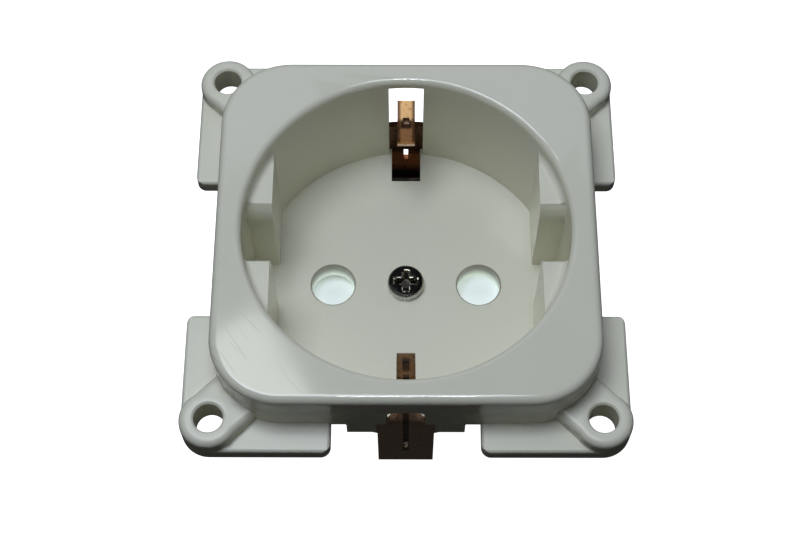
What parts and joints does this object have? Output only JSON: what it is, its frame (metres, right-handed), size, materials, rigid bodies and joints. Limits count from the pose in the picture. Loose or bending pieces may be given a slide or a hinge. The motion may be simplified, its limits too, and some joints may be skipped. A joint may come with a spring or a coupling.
{
  "type": "caravan wall socket",
  "caption": "Flush earthed wall socket insert with a round recess, round pin holes, side earth clips, a safety shutter and screw terminals at the back.",
  "frame": {"origin": "centre of the four ear holes, on the rear face of the flange", "axes": "+Z out of the face towards the user, +X along the line of the pin holes, +Y along the line of the earth clips"},
  "size_m": [0.0536, 0.0536, 0.0379],
  "materials": {
    "housing_plastic": "gloss",
    "carrier_plastic": "matt",
    "shutter_plastic": "matt",
    "bronze_strip": "tarnished",
    "brass_strip": "satin",
    "plated_steel": "satin",
    "spring_steel": "satin"
  },
  "bodies": {
    "socket": {"front_housing": "housing_plastic", "centre_screw": "plated_steel", "earth_strap": "bronze_strip", "contact_carrier": "carrier_plastic", "centre_insert": "brass_strip", "live_contact": "brass_strip", "neutral_contact": "brass_strip", "live_contact_clip": "spring_steel", "neutral_contact_clip": "spring_steel", "live_contact_rivet": "brass_strip", "neutral_contact_rivet": "brass_strip", "strap_rivets": "brass_strip"},
    "shutter_disc": {"shutter": "shutter_plastic", "shutter_spring": "spring_steel"},
    "live_clamp": {"live_clamp_plate": "plated_steel"},
    "neutral_clamp": {"neutral_clamp_plate": "plated_steel"},
    "earth_clamp": {"earth_clamp_plate": "plated_steel"},
    "live_screw": {"live_terminal_screw": "plated_steel"},
    "neutral_screw": {"neutral_terminal_screw": "plated_steel"},
    "earth_screw": {"earth_terminal_screw": "plated_steel"}
  },
  "joints": [
    {"name": "shutter_turn", "type": "hinge", "parent": "socket", "child": "shutter_disc", "pos_m": [0, 0, -0.01275], "axis": [0, 0, 1], "range_deg": [0, 36], "stiffness_Nm_per_rad": 0.002, "springref_deg": -28.65},
    {"name": "live_clamp_slide", "type": "slide", "parent": "socket", "child": "live_clamp", "axis": [0, 0, -1], "range_m": [0, 0.0018]},
    {"name": "neutral_clamp_slide", "type": "slide", "parent": "socket", "child": "neutral_clamp", "axis": [0, 0, -1], "range_m": [0, 0.0018]},
    {"name": "earth_clamp_slide", "type": "slide", "parent": "socket", "child": "earth_clamp", "axis": [0, 0, -1], "range_m": [0, 0.0018]},
    {"name": "live_screw_turn", "type": "hinge", "parent": "live_clamp", "child": "live_screw", "pos_m": [-0.0143, 0.0071, -0.0211], "axis": [0, 0, -1], "range_deg": [0, 1080]},
    {"name": "neutral_screw_turn", "type": "hinge", "parent": "neutral_clamp", "child": "neutral_screw", "pos_m": [0.0143, 0.0071, -0.0211], "axis": [0, 0, -1], "range_deg": [0, 1080]},
    {"name": "earth_screw_turn", "type": "hinge", "parent": "earth_clamp", "child": "earth_screw", "pos_m": [0, 0.0154, -0.01865], "axis": [0, 0, -1], "range_deg": [0, 1080]}
  ],
  "couplings": [
    {"joint": "live_screw_turn", "follows": "live_clamp_slide", "rad_per_m": 10472},
    {"joint": "neutral_screw_turn", "follows": "neutral_clamp_slide", "rad_per_m": 10472},
    {"joint": "earth_screw_turn", "follows": "earth_clamp_slide", "rad_per_m": 10472}
  ]
}
